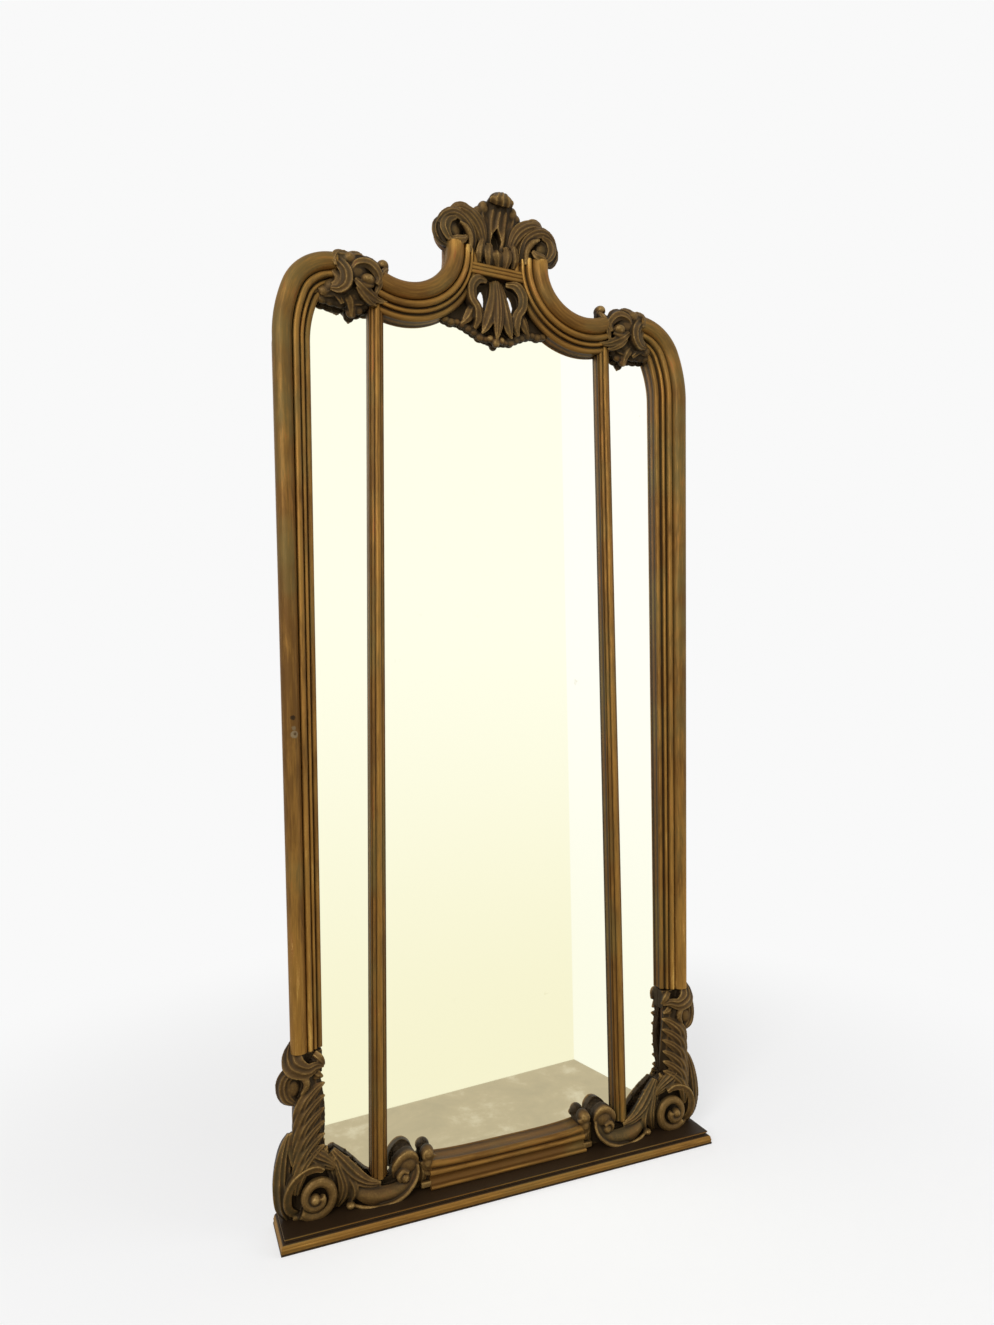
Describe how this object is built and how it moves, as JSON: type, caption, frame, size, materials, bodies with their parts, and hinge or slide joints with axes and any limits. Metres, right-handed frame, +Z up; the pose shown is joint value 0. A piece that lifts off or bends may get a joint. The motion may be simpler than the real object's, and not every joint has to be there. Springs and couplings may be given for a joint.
{
  "type": "trumeau mirror",
  "caption": "Tall giltwood overmantel mirror: three plates between reeded bars, curved shoulders and C-scrolls up to a pierced leaf crest, carved volutes on a moulded plinth.",
  "frame": {"origin": "centre of the plinth's underside", "axes": "+X across the width to the right as seen from the front, +Y back towards the wall, +Z up"},
  "size_m": [0.913, 0.1063, 1.9831],
  "materials": {
    "gilt_moulding": "old water gilding, rubbed on the high parts and dark in the quirks",
    "gilt_carving": "old dark gilding, toned umber, worn on the ridges",
    "mirror_glass": "old silvered plate glass",
    "back_wood": "bare aged softwood",
    "iron": "dark forged iron"
  },
  "bodies": {
    "root": {"backboard_nails": "iron", "bottom_back_rail": "back_wood", "bottom_rail_moulding": "gilt_moulding", "centre_backboard": "back_wood", "centre_mirror_plate": "mirror_glass", "crest_board": "back_wood", "crest_cartouche": "gilt_carving", "crest_crossbar": "gilt_moulding", "crest_pendant": "gilt_carving", "frame_pegs": "back_wood", "glazing_blocks": "back_wood", "hanging_plate_nails": "iron", "hanging_plates": "iron", "left_back_muntin": "back_wood", "left_back_shoulder": "back_wood", "left_back_stile": "back_wood", "left_backboard": "back_wood", "left_base_leaf_scroll": "gilt_carving", "left_base_volute": "gilt_carving", "left_c_scroll": "gilt_moulding", "left_crest_volute": "gilt_carving", "left_mirror_plate": "mirror_glass", "left_mullion": "gilt_moulding", "left_shoulder_moulding": "gilt_moulding", "left_shoulder_ornament": "gilt_carving", "left_stem_leaf": "gilt_carving", "left_stile_moulding": "gilt_moulding", "plinth": "gilt_moulding", "plinth_nails": "iron", "right_back_muntin": "back_wood", "right_back_shoulder": "back_wood", "right_back_stile": "back_wood", "right_backboard": "back_wood", "right_base_leaf_scroll": "gilt_carving", "right_base_volute": "gilt_carving", "right_c_scroll": "gilt_moulding", "right_crest_volute": "gilt_carving", "right_mirror_plate": "mirror_glass", "right_mullion": "gilt_moulding", "right_shoulder_moulding": "gilt_moulding", "right_shoulder_ornament": "gilt_carving", "right_stem_leaf": "gilt_carving", "right_stile_moulding": "gilt_moulding", "top_back_rail": "back_wood"}
  },
  "joints": []
}
